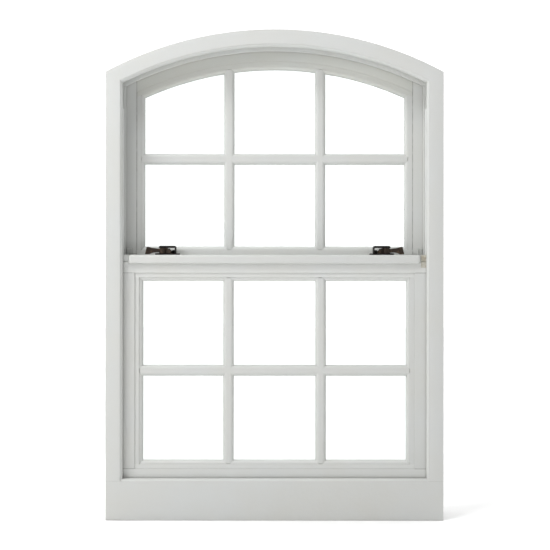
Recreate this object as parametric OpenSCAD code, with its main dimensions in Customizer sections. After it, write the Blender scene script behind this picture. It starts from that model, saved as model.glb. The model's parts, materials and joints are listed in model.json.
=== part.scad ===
// Double-hung sash window with an arched head, in its frame and without the wall.
// Lengths are in millimetres. The room is towards -Y, the outdoors towards +Y, and +Z is up.
// The origin is the middle of the bottom face, half-way through the depth.

/* [Overall size] */
// Width over the casing
unit_w = 967; // [860:1:1170]
// Height over the casing, at the crown of the arch
unit_h = 1405; // [1290:1:1700]
// Radius of the casing's outer edge along the arch
arch_r = 1024; // [900:1:1400]

/* [Casing and inside stops] */
// Width of the casing boards
casing_w = 41; // [30:1:60]
// Thickness of the casing boards
casing_t = 16; // [12:1:22]
// Width of the chamfer on the inside stops
chamfer_w = 6; // [4:0.5:8]
// Depth of that chamfer
chamfer_d = 7; // [4:0.5:12]
// Width of the stops' tongues, from the clear opening to the jambs
tongue_w = 10; // [9:0.5:14]
// Thickness of the stops' tongues
tongue_t = 10; // [8:1:16]

/* [Frame] */
// Thickness of the jambs
jamb_t = 20; // [18:1:30]
// Height of the sill's flat top
sill_z = 107.5; // [90:0.5:140]
// Thickness of the sill on the room side
sill_t = 41.5; // [34:0.5:50]
// How far the sill's nose stands out past the jambs
nose_out = 32; // [24:1:50]
// Fall of the sill's weathered top
sill_fall = 21; // [12:1:24]
// Thickness of the parting stops
parting_t = 10; // [8:0.5:14]
// How far the parting stops reach past the inside stops into the opening
parting_past = 3; // [0:0.5:6]
// Depth of the plough in the jambs that holds the parting stops
plough_d = 6; // [4:0.5:9]
// Thickness of the outside stops
outside_t = 12; // [10:1:18]

/* [Sash sizes] */
// Thickness of both sashes
sash_t = 44; // [42:1:50]
// Gap between a sash's faces and its track
face_gap = 2; // [1.5:0.1:3]
// Gap between a sash's edges and the jambs
side_gap = 2; // [1.5:0.1:3]
// Width of the stiles
stile_w = 64; // [56:0.5:80]
// Width of the upper sash's arched head rail
head_rail_w = 61.5; // [54:0.5:80]
// Height of the lower sash's bottom rail
bottom_rail_h = 57; // [50:1:100]
// Height of both meeting rails
check_rail_h = 75; // [66:1:90]
// Height of the lower sash's top edge, above the bottom of the unit
meet_z = 760; // [680:1:900]
// Height over which the meeting rails lap each other
meet_lap = 50; // [40:0.5:56]
// How far each meeting rail is thickened towards the other
meet_pad = 5.5; // [3:0.1:6]

/* [Mouldings] */
// Width of the flat fillet beside the ovolo
fillet_w = 12.75; // [8:0.25:16]
// Width of the ovolo
ovolo_w = 10.25; // [8:0.25:12]
// Depth of the quirk between a sash's face and the fillet
quirk_d = 3; // [1:0.5:4]
// Depth at which the ovolo starts
ovolo_y = 5.5; // [4:0.1:7]
// Thickness of the moulded lip in front of the glass
lip_t = 15; // [13:0.5:18]
// Width of the flat on the front of a glazing bar
bar_flat = 8.8; // [5:0.1:12]
// How far the upright bars stand outside an even spacing
bar_spread = 1.5; // [-10:0.5:10]
// How far the upper sash's cross bar hangs below the middle of its glass
bar_drop = 3; // [-20:0.5:20]

/* [Glazing] */
// Thickness of one pane
glass_t = 3; // [3:0.5:5]
// Width of the sealed space between the panes
cavity_t = 12; // [8:1:14]
// Width of the rebate that the glass sits in
rebate_w = 12; // [11:0.5:15]
// Gap round the glass in its rebate
glass_gap = 2; // [1.5:0.5:4]
// Width of the spacer bar between the panes
spacer_w = 6; // [5:0.5:7]

/* [Nosing and small sash parts] */
// How far the nosing stands out from the lower sash's face
nosing_out = 12; // [8:1:14]
// Height of the nosing
nosing_h = 25; // [18:1:30]
// Gap between the nosing's ends and the inside stops
nosing_end = 15.5; // [8:0.5:30]
// Height of the plugs in the ends of the lower meeting rail
plug_h = 37; // [20:1:40]
// Thickness of the plugs
plug_t = 12; // [8:1:14]
// Height of the dust pads on the upper sash
pad_h = 23; // [15:1:30]

/* [Balances] */
// Outer radius of a balance tube
tube_r = 5; // [4:0.1:6]
// Bore radius of a balance tube
tube_bore_r = 3.2; // [2.6:0.1:3.6]
// Radius of a balance rod
rod_r = 2.3; // [1.8:0.1:2.4]
// Travel that the balances allow the lower sash
lower_travel = 440; // [250:1:440]
// Travel that the balances allow the upper sash
upper_travel = 430; // [250:1:430]

/* [Locks] */
// Distance of each lock's pivot from the middle of the window
lock_x = 324; // [200:1:340]
// Length of the lock's housing
house_l = 50; // [44:1:60]
// Height of the lock's housing above the rail
house_h = 26.5; // [24:0.5:30]
// Thickness of the lock's foot
foot_t = 4.6; // [3:0.1:6]
// Length of the lever from its pivot
lever_l = 52; // [42:1:60]
// Reach of the cam from its pivot
cam_r = 27; // [26:0.5:28]
// Radius of the lock's pivot pin
pin_r = 2.5; // [2:0.1:3]

/* [Hidden] */
// Stations through the depth, from the casing's face on the room side
unit_d = casing_t + tongue_t + 4 * face_gap + 2 * sash_t + parting_t + outside_t + nose_out;
face_y = -unit_d / 2;
jamb_y = face_y + casing_t;
stop_y = jamb_y + tongue_t;
lower_y = stop_y + face_gap;
parting_y = lower_y + sash_t + face_gap;
upper_y = parting_y + parting_t + face_gap;
outside_y = upper_y + sash_t + face_gap;
back_y = outside_y + outside_t;
nose_y = back_y + nose_out;

// Half widths across the opening
casing_in = unit_w / 2 - casing_w;
clear_x = casing_in - chamfer_w;
jamb_x = clear_x + tongue_w;
jamb_out = jamb_x + jamb_t;
sash_x = jamb_x - side_gap;
sight_x = sash_x - stile_w;

// The arch: every curve shares this centre
arch_z = unit_h - arch_r;
casing_in_r = arch_r - casing_w;
clear_r = casing_in_r - chamfer_w;
jamb_r = clear_r + tongue_w;
jamb_out_r = jamb_r + jamb_t;
sash_r = jamb_r - side_gap;
sight_r = sash_r - head_rail_w;
arc_fn = 360;
big = 3 * unit_h;

// Heights
clear_z = sill_z + tongue_w;
board_z = clear_z - chamfer_w;
lower_z = sill_z + side_gap;
lower_sight_z0 = lower_z + bottom_rail_h;
lower_sight_z1 = meet_z - check_rail_h;
upper_z = meet_z - meet_lap;
upper_sight_z = upper_z + check_rail_h;

// Mouldings and glazing, measured from a sash's sight edge and front face
stick_w = fillet_w + ovolo_w;
ovolo_n = 12;
bar_w = bar_flat + 2 * ovolo_w;
quirk_x = sight_x + stick_w;
quirk_r = sight_r + stick_w;
cavity_y = lip_t + glass_t;
back_pane_y = cavity_y + cavity_t;
bead_y = back_pane_y + glass_t;
bead_in = 1;
bead_slip = 0.1;
glass_d = rebate_w - glass_gap;
spacer_d = glass_d - glass_gap;
bar_x = (2 * sight_x - 2 * bar_w) / 6 + bar_w / 2 + bar_spread;
lower_bar_z = (lower_sight_z0 + lower_sight_z1) / 2;
upper_bar_z = (upper_sight_z + arch_z + sight_r) / 2 - bar_drop;

// Tenons of the sash joints
tenon_t = 12;
tenon_y = lip_t + 1;
tenon_in = stick_w - 1;
tenon_out = stick_w + 23;
tenon_l = 22;
tenon_play = 0.2;

// Nosing, plugs and seals
nosing_x = clear_x - nosing_end;
nosing_top_r = 9;
nosing_low_r = 4;
groove_d = 6;
groove_h = 11;
groove_z = meet_z - nosing_h + 7;
seal_t = 1.5;
seal_w = 9;
kerf_w = 2.6;
kerf_d = 5;
seal_z = upper_z + 24;
pad_w = 15;
pad_rib = 2;

// Balances: a tube on each jamb, in a groove down the sash's edge
tube_x = jamb_x - 0.3 - tube_r;
tube_groove_x = tube_x - tube_r - 1;
tube_groove_w = 2 * tube_r + 2;
tube_foot_h = 12;
tube_tab_h = 16;
lower_tube_z0 = lower_z + tube_foot_h + lower_travel + 38;
lower_tube_l = lower_travel + 160;
upper_tube_z0 = upper_z + tube_foot_h + 20;
upper_tube_z1 = arc_z(jamb_r, jamb_x) - 20;
rod_grip = 38;
upper_rod_z1 = min(upper_tube_z0 + upper_travel + rod_grip, upper_tube_z1 - tube_tab_h - 12);

// Locks
foot_d = 30;
foot_y = lower_y + sash_t + meet_pad - 3.5 - foot_d;
lock_y = foot_y + 14;
house_x1 = lock_x + 11.5;
house_x0 = house_x1 - house_l;
foot_x0 = house_x0 - 10;
foot_x1 = house_x1 + 11;
roof_t = 6;
wall_t = 4;
hub_r = 10;
lock_play = 0.3;
pin_play = 0.08;
cam_z = meet_z + foot_t + 0.4;
cam_edge_h = 6;
cam_half_angle = 20;
cam_rest_angle = 190;
slot_z0 = meet_z + 3.5;
slot_h = 12.5;
keeper_lip = 3;
keeper_d = 11.5;
keeper_x0 = lock_x - 18;
keeper_x1 = lock_x + 14;
keeper_y = upper_y - meet_pad;

// Screws: head radius, shank radius, head height and length
screw_play = 0.1;
frame_screw = [4.5, 2.3, 4, 50];
lock_screw = [3.4, 1.8, 2.4, 18];
tube_screw = [3.4, 1.5, 2.2, 14];
fixing_r = 3.25;
fixing_head_r = 7;
fixing_head_d = 5;
fixing_y = lower_y + sash_t - 8;
fixing_z = 650;
fixing_pitch = 800;

white = [0.90, 0.91, 0.88];
shade_white = [0.80, 0.81, 0.78];
cream = [0.86, 0.80, 0.66];
bronze = [0.12, 0.10, 0.09];
metal = [0.70, 0.71, 0.72];
seal_grey = [0.45, 0.45, 0.44];
pane_blue = [0.80, 0.90, 0.92, 0.35];

// Height of the circle of radius r, about the arch's centre, at x from the middle
function arc_z(r, x) = arch_z + sqrt(r * r - x * x);

// Point at share s of the way from a to b
function along(a, b, s) = a + s * (b - a);

// Height of the sill's weathered top at depth y
function sill_top(y) = along(sill_z - 2, sill_z - sill_fall + 1,
    (y - lower_y - sash_t - 1.5) / (nose_y - lower_y - sash_t - 5.5));

// Quarter-ellipse ovolo, from the sight edge to where the fillet starts
function ovolo() = [
    for (i = [0:ovolo_n])
        let (a = 90 * i / ovolo_n)
            [ovolo_w * (1 - cos(a)), lip_t - 1 - (lip_t - 1 - ovolo_y) * sin(a)]
];

// The same points, last to first
function reversed(pts) = [for (i = [len(pts) - 1:-1:0]) pts[i]];

// Section of a stile or rail: [distance out from the sight edge, depth from the face]
function stick(w) = concat(
    [[w, sash_t], [w, 0], [stick_w, 0], [stick_w, quirk_d], [ovolo_w, quirk_d]],
    reversed(ovolo()),
    [[0, lip_t], [rebate_w, lip_t], [rebate_w, sash_t]]
);

// Section of a glazing bar on the room side, grown by g
function inner_bar(g) = concat(
    [[-bar_w / 2 - g, lip_t]],
    [for (p = ovolo()) [p[0] - bar_w / 2 - g, p[1] - g]],
    [for (p = reversed(ovolo())) [bar_w / 2 + g - p[0], p[1] - g]],
    [[bar_w / 2 + g, lip_t]]
);

// Section of a glazing bar on the outdoor side, grown by g
function outer_bar(g) = [
    [-bar_w / 2 - g, bead_y], [bar_w / 2 + g, bead_y], [bar_w / 2 + g, bead_y + 1 + g],
    [bar_flat / 2 + g, sash_t - 1 + g], [-bar_flat / 2 - g, sash_t - 1 + g],
    [-bar_w / 2 - g, bead_y + 1 + g]
];

// Section of the beads that hold the glass from outdoors
bead = [[bead_in, bead_y], [rebate_w, bead_y], [rebate_w, sash_t], [rebate_w - 2, sash_t],
    [bead_in, bead_y + 2]];

// Section of an inside stop: a chamfered lip beside the casing and a tongue behind it
inside_stop = [[chamfer_w, 0], [chamfer_w, casing_t], [tongue_w, casing_t],
    [tongue_w, casing_t + tongue_t], [0, casing_t + tongue_t], [0, chamfer_d]];

// Section of a parting stop, with its two inner edges eased
parting_in = -parting_past;
ease = 1.5;
parting = [[parting_in, ease], [parting_in + ease, 0], [tongue_w + plough_d, 0],
    [tongue_w + plough_d, parting_t], [parting_in + ease, parting_t], [parting_in, parting_t - ease]];

// Section of an outside stop
outside = [[parting_in, 0], [tongue_w, 0], [tongue_w, outside_t], [parting_in, outside_t]];

// The shape as drawn for the right side, or mirrored for the left
module sided(side) {
    if (side > 0)
        children();
    else
        mirror([1, 0, 0]) children();
}

// Both of a pair
module pair() {
    children();
    mirror([1, 0, 0]) children();
}

// A front view pushed through the depth from y0 to y1
module front(y0, y1) {
    translate([0, y1, 0]) rotate([90, 0, 0]) linear_extrude(y1 - y0) children();
}

// A disc about the arch's centre, in the front view
module disc(r) {
    translate([0, arch_z]) circle(r, $fn = arc_fn);
}

// A block given by two opposite corners
module block(a, b) {
    translate(a) cube(b - a);
}

// A section standing upright, from x0 outwards
module upright(pts, x0, y0, z0, z1) {
    translate([0, 0, z0]) linear_extrude(z1 - z0)
        polygon([for (p = pts) [x0 + p[0], y0 + p[1]]]);
}

// A section lying level across the window, from z0 upwards (dir 1) or downwards (dir -1)
module level(pts, z0, dir, y0, x0, x1) {
    translate([x0, 0, 0]) rotate([90, 0, 90]) linear_extrude(x1 - x0)
        polygon([for (p = pts) [y0 + p[1], z0 + dir * p[0]]]);
}

// A section swept round the arch, from radius r0 outwards, and cut off at half width x1
module arched(pts, r0, y0, x1) {
    intersection() {
        translate([0, 0, arch_z]) rotate([90, 0, 0])
            rotate_extrude(angle = 80, start = 50, $fn = arc_fn)
                polygon([for (p = pts) [r0 + p[0], -(y0 + p[1])]]);
        block([-x1, -big, 0], [x1, big, big]);
    }
}

// The front view of a mitred side piece w wide: zb and r are the opening's bottom and arch,
// and s moves both mitres into the piece
module side_zone(x0, w, zb, r, s) {
    low = [x0, zb];
    low_out = [x0 + w, zb - w];
    top = [x0, arc_z(r, x0)];
    top_out = [x0 + w, arc_z(r + w, x0 + w)];
    polygon([
        along(low, low_out, -1) + [0, s], along(low, low_out, 2) + [0, s],
        along(top, top_out, 2) - [0, s], along(top, top_out, -1) - [0, s]
    ]);
}

// A countersunk screw, head at the origin and point towards -Z: [head_r, shank_r, head_h, length]
module screw(s, play = 0) {
    translate([0, 0, -s[2]])
        cylinder(h = s[2], r1 = s[1] + play, r2 = s[0] + play, $fn = 32);
    translate([0, 0, -s[3] - play])
        cylinder(h = s[3] + play - s[2] / 2, r = s[1] + play, $fn = 32);
}

// ---- Frame ----

// Screws through the right jamb into the sill and the block under it
module jamb_screws(play = 0) {
    for (y = [jamb_y + 24, back_y - 34], z = [sill_z - sill_t / 2, (sill_z - sill_t) / 2])
        translate([jamb_out, y, z]) rotate([0, 90, 0]) screw(frame_screw, play);
}

// Screws that hold the right-hand balance tubes by their tabs
module tube_screws(play = 0) {
    for (b = [[lower_y, lower_tube_z0 + lower_tube_l], [upper_y, upper_tube_z1]])
        translate([tube_x, b[0] + sash_t / 2, b[1] - tube_tab_h / 2])
            rotate([0, -90, 0]) screw(tube_screw, play);
}

// A side of the frame, ploughed for the parting stop and drilled for its fixings
module jamb(side) {
    color(white) sided(side) difference() {
        front(jamb_y, back_y) intersection() {
            disc(jamb_r);
            translate([jamb_x, 0]) square([jamb_t, big]);
        }
        block([jamb_x - 1, parting_y, 0], [jamb_x + plough_d, parting_y + parting_t, big]);
        for (z = [fixing_z - fixing_pitch / 2, fixing_z + fixing_pitch / 2])
            translate([jamb_x, fixing_y, z]) rotate([0, 90, 0]) {
                translate([0, 0, -1]) cylinder(h = jamb_t + 2, r = fixing_r, $fn = 32);
                translate([0, 0, -1]) cylinder(h = fixing_head_d + 1, r = fixing_head_r, $fn = 32);
            }
        jamb_screws(screw_play);
        tube_screws(screw_play);
    }
}

// The arched head of the frame, ploughed in the same way
module head_jamb() {
    depth = back_y - jamb_y;
    plough_y = parting_y - jamb_y;
    color(white) arched([
        [0, 0], [0, plough_y], [plough_d, plough_y], [plough_d, plough_y + parting_t],
        [0, plough_y + parting_t], [0, depth], [jamb_t, depth], [jamb_t, 0]
    ], jamb_r, jamb_y, jamb_out);
}

// The sill: flat under the lower sash, weathered outside it, with a drip groove and horns
module sill() {
    weather_y = lower_y + sash_t;
    under_z = sill_z - sill_t;
    nose_z = sill_z - sill_fall;
    drip_y = nose_y - 14;
    color(white) difference() {
        level([
            [under_z, jamb_y], [sill_z, jamb_y], [sill_z, weather_y], [sill_z - 2, weather_y + 1.5],
            [nose_z + 1, nose_y - 4], [nose_z - 2, nose_y - 1], [nose_z - 5, nose_y],
            [under_z, nose_y], [under_z, drip_y + 6], [under_z + 5, drip_y + 6],
            [under_z + 5, drip_y], [under_z, drip_y]
        ], 0, 1, 0, -unit_w / 2, unit_w / 2);
        pair() block([jamb_x, -big, 0], [big, back_y, big]);
        pair() jamb_screws(screw_play);
    }
}

// The solid block that the sill is bedded on
module sub_sill() {
    color(shade_white) difference() {
        block([-jamb_x, jamb_y, 0], [jamb_x, back_y - 18, sill_z - sill_t]);
        pair() jamb_screws(screw_play);
    }
}

// Outline of the right casing board, mitred to the arch
module casing_side_outline() {
    polygon([
        [casing_in, board_z], [unit_w / 2, board_z],
        [unit_w / 2, arc_z(arch_r, unit_w / 2)], [casing_in, arc_z(casing_in_r, casing_in)]
    ]);
}

module casing_side(side) {
    color(white) sided(side) front(face_y, jamb_y) casing_side_outline();
}

module casing_head() {
    color(white) difference() {
        arched([[0, 0], [0, casing_t], [casing_w, casing_t], [casing_w, 0]],
            casing_in_r, face_y, unit_w / 2);
        pair() front(face_y - 1, jamb_y + 1) casing_side_outline();
    }
}

module casing_bottom() {
    color(white) block([-unit_w / 2, face_y, 0], [unit_w / 2, jamb_y, board_z]);
}

// Front view of the part of the ring of inside stops that the right-hand stop takes
module stop_zone() {
    side_zone(clear_x, tongue_w, clear_z, clear_r, 0);
}

module inside_stop_side(side) {
    color(white) sided(side) intersection() {
        upright(inside_stop, clear_x, face_y, 0, unit_h);
        front(face_y - 1, stop_y + 1) stop_zone();
    }
}

module inside_stop_head() {
    color(white) difference() {
        arched(inside_stop, clear_r, face_y, jamb_x);
        pair() front(face_y - 1, stop_y + 1) stop_zone();
    }
}

module inside_stop_bottom() {
    color(white) difference() {
        level(inside_stop, clear_z, -1, face_y, -jamb_x, jamb_x);
        pair() front(face_y - 1, stop_y + 1) stop_zone();
    }
}

module parting_stop_side(side) {
    color(white) sided(side) intersection() {
        upright(parting, clear_x, parting_y, sill_top(parting_y), unit_h);
        front(parting_y - 1, upper_y) disc(clear_r + parting_in);
    }
}

module parting_stop_head() {
    color(white) arched(parting, clear_r, parting_y, jamb_x + plough_d);
}

module outside_stop_side(side) {
    color(white) sided(side) intersection() {
        upright(outside, clear_x, outside_y, sill_top(outside_y), unit_h);
        front(outside_y - 1, back_y + 1) disc(clear_r + parting_in);
    }
}

module outside_stop_head() {
    color(white) arched(outside, clear_r, outside_y, jamb_x);
}

module frame_screws() {
    color(metal) pair() jamb_screws();
}

// ---- Sashes ----

// The groove down a sash's edge that clears the balance tube
module tube_groove(y) {
    mid = y + sash_t / 2;
    block([tube_groove_x, mid - tube_groove_w / 2, 0], [big, mid + tube_groove_w / 2, big]);
}

// A tenon between two corners given as [across, up], grown by play
module tenon(a, b, y, play = 0) {
    block([a[0] - play, y + tenon_y - play, a[1] - play],
        [b[0] + play, y + tenon_y + tenon_t + play, b[1] + play]);
}

// The right stile's tenons into the lower sash's two rails
module lower_tenons(play = 0) {
    tenon([sight_x + tenon_in, lower_sight_z0 - stick_w - tenon_l],
        [sight_x + tenon_out, lower_sight_z0 - stick_w + 1], lower_y, play);
    tenon([sight_x + tenon_in, lower_sight_z1 + stick_w - 1],
        [sight_x + tenon_out, lower_sight_z1 + stick_w + tenon_l], lower_y, play);
}

// The upper sash's rail tenons into the right stile
module upper_tenons(play = 0) {
    top = arc_z(sash_r, quirk_x + tenon_l) - 8;
    tenon([quirk_x - 1, upper_z + 10], [quirk_x + tenon_l, upper_z + 40], upper_y, play);
    tenon([quirk_x - 1, top - tenon_l], [quirk_x + tenon_l, top], upper_y, play);
}

// The moulded parts of the lower sash's rails, between the stiles' quirk lines
module lower_moulded_rails() {
    level(stick(bottom_rail_h), lower_sight_z0, -1, lower_y, -quirk_x, quirk_x);
    level(stick(check_rail_h), lower_sight_z1, 1, lower_y, -quirk_x, quirk_x);
}

module upper_moulded_head() {
    arched(stick(head_rail_w), sight_r, upper_y, quirk_x);
}

module upper_moulded_check() {
    level(stick(check_rail_h), upper_sight_z, -1, upper_y, -quirk_x, quirk_x);
}

module lower_stile(side) {
    color(white) sided(side) difference() {
        union() {
            upright(stick(stile_w), sight_x, lower_y, lower_sight_z0 - stick_w, lower_sight_z1 + stick_w);
            lower_tenons();
        }
        difference() {
            lower_moulded_rails();
            lower_tenons(tenon_play);
        }
        tube_groove(lower_y);
    }
}

module lower_bottom_rail() {
    mid = lower_y + sash_t / 2;
    color(white) difference() {
        union() {
            level(stick(bottom_rail_h), lower_sight_z0, -1, lower_y, -quirk_x, quirk_x);
            block([-sash_x, lower_y, lower_z], [sash_x, lower_y + sash_t, lower_sight_z0 - stick_w]);
        }
        pair() lower_tenons(tenon_play);
        pair() tube_groove(lower_y);
        block([-big, mid - kerf_w / 2, 0], [big, mid + kerf_w / 2, lower_z + kerf_d]);
    }
}

// The lower sash's top rail, with its thickened back and the notches for its fittings
module lower_check_rail() {
    color(white) difference() {
        union() {
            level(stick(check_rail_h), lower_sight_z1, 1, lower_y, -quirk_x, quirk_x);
            block([-sash_x, lower_y, lower_sight_z1 + stick_w], [sash_x, lower_y + sash_t, meet_z]);
            block([-quirk_x, lower_y + sash_t - 1, upper_z],
                [quirk_x, lower_y + sash_t + meet_pad, meet_z]);
        }
        pair() lower_tenons(tenon_play);
        pair() tube_groove(lower_y);
        pair() block([nosing_x + 0.5, lower_y - 1, meet_z - plug_h], [big, lower_y + plug_t, big]);
        block([-nosing_x, lower_y - 1, groove_z], [nosing_x, lower_y + groove_d, groove_z + groove_h]);
        pair() lock_screw_set(screw_play);
    }
}

// Profile of the nosing, rounded above and below, with the tongue that holds it
module nosing_profile() {
    top = [for (i = [0:6]) let (a = 15 * i)
        [nosing_top_r * (1 - sin(a)), nosing_h - nosing_top_r * (1 - cos(a))]];
    low = [for (i = [0:4]) let (a = 22.5 * i)
        [nosing_low_r * (1 - cos(a)), nosing_low_r * (1 - sin(a))]];
    polygon(concat(
        [for (p = top) [p[0], p[1]]], low,
        [[nosing_out, 0], [nosing_out, groove_z + 0.2 - meet_z + nosing_h],
        [nosing_out + groove_d - 0.5, groove_z + 0.2 - meet_z + nosing_h],
        [nosing_out + groove_d - 0.5, groove_z + groove_h - 0.2 - meet_z + nosing_h],
        [nosing_out, groove_z + groove_h - 0.2 - meet_z + nosing_h], [nosing_out, nosing_h]]
    ));
}

// A rectangle from the origin corner a to b with its two corners on side -Y rounded
module eased_front(a, b, r) {
    translate([a[0], a[1] + r]) square([b[0] - a[0], b[1] - a[1] - r]);
    translate([a[0] + r, a[1]]) square([b[0] - a[0] - 2 * r, r + 1]);
    for (x = [a[0] + r, b[0] - r])
        translate([x, a[1] + r]) circle(r, $fn = 48);
}

module lower_nosing() {
    color(white) intersection() {
        translate([-nosing_x, lower_y - nosing_out, meet_z - nosing_h])
            rotate([90, 0, 90]) linear_extrude(2 * nosing_x) nosing_profile();
        linear_extrude(unit_h)
            eased_front([-nosing_x, lower_y - nosing_out], [nosing_x, lower_y + groove_d], 8);
    }
}

// A plug in each end of the lower meeting rail, with a slit across it
module lower_end_plugs() {
    slit_z = meet_z - 19;
    color(cream) pair() difference() {
        block([nosing_x + 0.7, lower_y, meet_z - plug_h + 0.2],
            [sash_x, lower_y + plug_t - 0.2, meet_z]);
        block([nosing_x + 2, lower_y - 1, slit_z - 1], [big, lower_y + 4, slit_z + 1]);
    }
}

module upper_stile(side) {
    color(white) sided(side) difference() {
        intersection() {
            upright(stick(stile_w), sight_x, upper_y, upper_z, unit_h);
            front(upper_y - 1, upper_y + sash_t + 1) {
                intersection() {
                    disc(sash_r);
                    translate([quirk_x, 0]) square([big, big]);
                }
                intersection() {
                    disc(quirk_r);
                    translate([0, upper_sight_z - stick_w]) square([quirk_x + 1, big]);
                }
            }
        }
        upper_moulded_head();
        upper_moulded_check();
        upper_tenons(tenon_play);
        tube_groove(upper_y);
    }
}

module upper_head_rail() {
    mid = upper_y + sash_t / 2;
    color(white) union() {
        difference() {
            upper_moulded_head();
            arched([[0, 0], [0, kerf_w], [2 * kerf_d, kerf_w], [2 * kerf_d, 0]],
                sash_r - kerf_d, mid - kerf_w / 2, quirk_x + 1);
        }
        pair() intersection() {
            upper_tenons();
            block([0, -big, upper_sight_z], [big, big, big]);
        }
    }
}

// The upper sash's bottom rail, thickened towards the lower sash and cut for the keepers
module upper_check_rail() {
    color(white) difference() {
        union() {
            upper_moulded_check();
            block([-quirk_x, upper_y - meet_pad, upper_z],
                [quirk_x, upper_y + 1, upper_sight_z - stick_w]);
            pair() intersection() {
                upper_tenons();
                block([0, -big, 0], [big, big, upper_sight_z]);
            }
        }
        pair() block([keeper_x0 - 0.2, -big, slot_z0 - keeper_lip - 0.2],
            [keeper_x1 + 0.2, keeper_y + keeper_d + 0.2, slot_z0 + slot_h + keeper_lip + 0.2]);
        pair() keeper_screw_set(screw_play);
        block([-big, -big, seal_z - kerf_w / 2], [big, upper_y - meet_pad + kerf_d, seal_z + kerf_w / 2]);
    }
}

// Front view of a sash's daylight opening, grown by d
module lower_light(d) {
    translate([-sight_x - d, lower_sight_z0 - d])
        square([2 * (sight_x + d), lower_sight_z1 - lower_sight_z0 + 2 * d]);
}

module upper_light(d) {
    intersection() {
        disc(sight_r + d);
        translate([-sight_x - d, upper_sight_z - d]) square([2 * (sight_x + d), unit_h]);
    }
}

module pane(y) {
    color(pane_blue) front(y, y + glass_t) children();
}

// The metal spacer between the panes: children are the outer and inner outlines
module spacer(y) {
    color(metal) front(y + cavity_y, y + back_pane_y) difference() {
        children(0);
        children(1);
    }
}

// Glazing bars on the room side: two uprights, with the cross bar coped between them
module inner_grid(y, z) {
    pair() upright(inner_bar(0), bar_x, y, 0, unit_h);
    difference() {
        level(inner_bar(0), z, 1, y, -sight_x - ovolo_w, sight_x + ovolo_w);
        pair() upright(inner_bar(bead_slip), bar_x, y, 0, unit_h);
    }
}

// The same bars on the outdoor side
module outer_grid(y, z) {
    pair() upright(outer_bar(0), bar_x, y, 0, unit_h);
    difference() {
        level(outer_bar(0), z, 1, y, -sight_x - rebate_w, sight_x + rebate_w);
        pair() upright(outer_bar(bead_slip), bar_x, y, 0, unit_h);
    }
}

module lower_inner_bars() {
    color(white) difference() {
        intersection() {
            inner_grid(lower_y, lower_bar_z);
            front(lower_y, upper_y) lower_light(ovolo_w);
        }
        lower_moulded_rails();
        pair() upright(stick(stile_w), sight_x, lower_y, 0, unit_h);
    }
}

module upper_inner_bars() {
    color(white) difference() {
        intersection() {
            inner_grid(upper_y, upper_bar_z);
            front(upper_y, back_y) upper_light(ovolo_w);
        }
        upper_moulded_check();
        upper_moulded_head();
        pair() upright(stick(stile_w), sight_x, upper_y, 0, unit_h);
    }
}

module lower_outer_bars() {
    color(white) difference() {
        intersection() {
            outer_grid(lower_y, lower_bar_z);
            front(lower_y, upper_y) lower_light(rebate_w - 3);
        }
        lower_beads();
    }
}

module upper_outer_bars() {
    color(white) difference() {
        intersection() {
            outer_grid(upper_y, upper_bar_z);
            front(upper_y, back_y) upper_light(rebate_w - 3);
        }
        upper_beads();
    }
}

// Four beads round the lower sash's glass, mitred a hair apart
module lower_beads() {
    pair() intersection() {
        upright(bead, sight_x, lower_y, lower_sight_z0 - rebate_w, lower_sight_z1 + rebate_w);
        front(lower_y, upper_y) lower_bead_zone(bead_slip);
    }
    difference() {
        union() {
            level(bead, lower_sight_z0, -1, lower_y, -sight_x - rebate_w, sight_x + rebate_w);
            level(bead, lower_sight_z1, 1, lower_y, -sight_x - rebate_w, sight_x + rebate_w);
        }
        pair() front(lower_y, upper_y) lower_bead_zone(-bead_slip);
    }
}

// Front view of the right-hand bead's share, between two 45 degree mitres
module lower_bead_zone(s) {
    reach = 2 * rebate_w;
    low = [sight_x, lower_sight_z0 + s];
    top = [sight_x, lower_sight_z1 - s];
    polygon([low + [-reach, reach], low + [reach, -reach], top + [reach, reach], top - [reach, reach]]);
}

module lower_glazing_beads() {
    color(white) lower_beads();
}

module upper_beads() {
    pair() intersection() {
        upright(bead, sight_x, upper_y, upper_sight_z - rebate_w, unit_h);
        front(upper_y, back_y) side_zone(sight_x, rebate_w, upper_sight_z, sight_r, bead_slip);
    }
    difference() {
        union() {
            level(bead, upper_sight_z, -1, upper_y, -sight_x - rebate_w, sight_x + rebate_w);
            arched(bead, sight_r, upper_y, sight_x + rebate_w);
        }
        pair() front(upper_y, back_y) side_zone(sight_x, rebate_w, upper_sight_z, sight_r, -bead_slip);
    }
}

module upper_glazing_beads() {
    color(white) upper_beads();
}

module lower_inner_pane() {
    pane(lower_y + lip_t) lower_light(glass_d);
}

module lower_outer_pane() {
    pane(lower_y + back_pane_y) lower_light(glass_d);
}

module lower_spacer() {
    spacer(lower_y) {
        lower_light(spacer_d);
        lower_light(spacer_d - spacer_w);
    }
}

module upper_inner_pane() {
    pane(upper_y + lip_t) upper_light(glass_d);
}

module upper_outer_pane() {
    pane(upper_y + back_pane_y) upper_light(glass_d);
}

module upper_spacer() {
    spacer(upper_y) {
        upper_light(spacer_d);
        upper_light(spacer_d - spacer_w);
    }
}

// ---- Seals and pads ----

// A seal's section: a flat strip of width seal_w with a tongue into its kerf
function seal() = [
    [-seal_t, -seal_w / 2], [0, -seal_w / 2], [0, -kerf_w / 2 + 0.2], [kerf_d - 0.5, -kerf_w / 2 + 0.2],
    [kerf_d - 0.5, kerf_w / 2 - 0.2], [0, kerf_w / 2 - 0.2], [0, seal_w / 2], [-seal_t, seal_w / 2]
];

module lower_bottom_seal() {
    color(seal_grey)
        level(seal(), lower_z, 1, lower_y + sash_t / 2, -tube_groove_x + 1, tube_groove_x - 1);
}

module head_seal() {
    color(seal_grey)
        arched([for (p = seal()) [-p[0], p[1]]], sash_r, upper_y + sash_t / 2, quirk_x);
}

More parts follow.
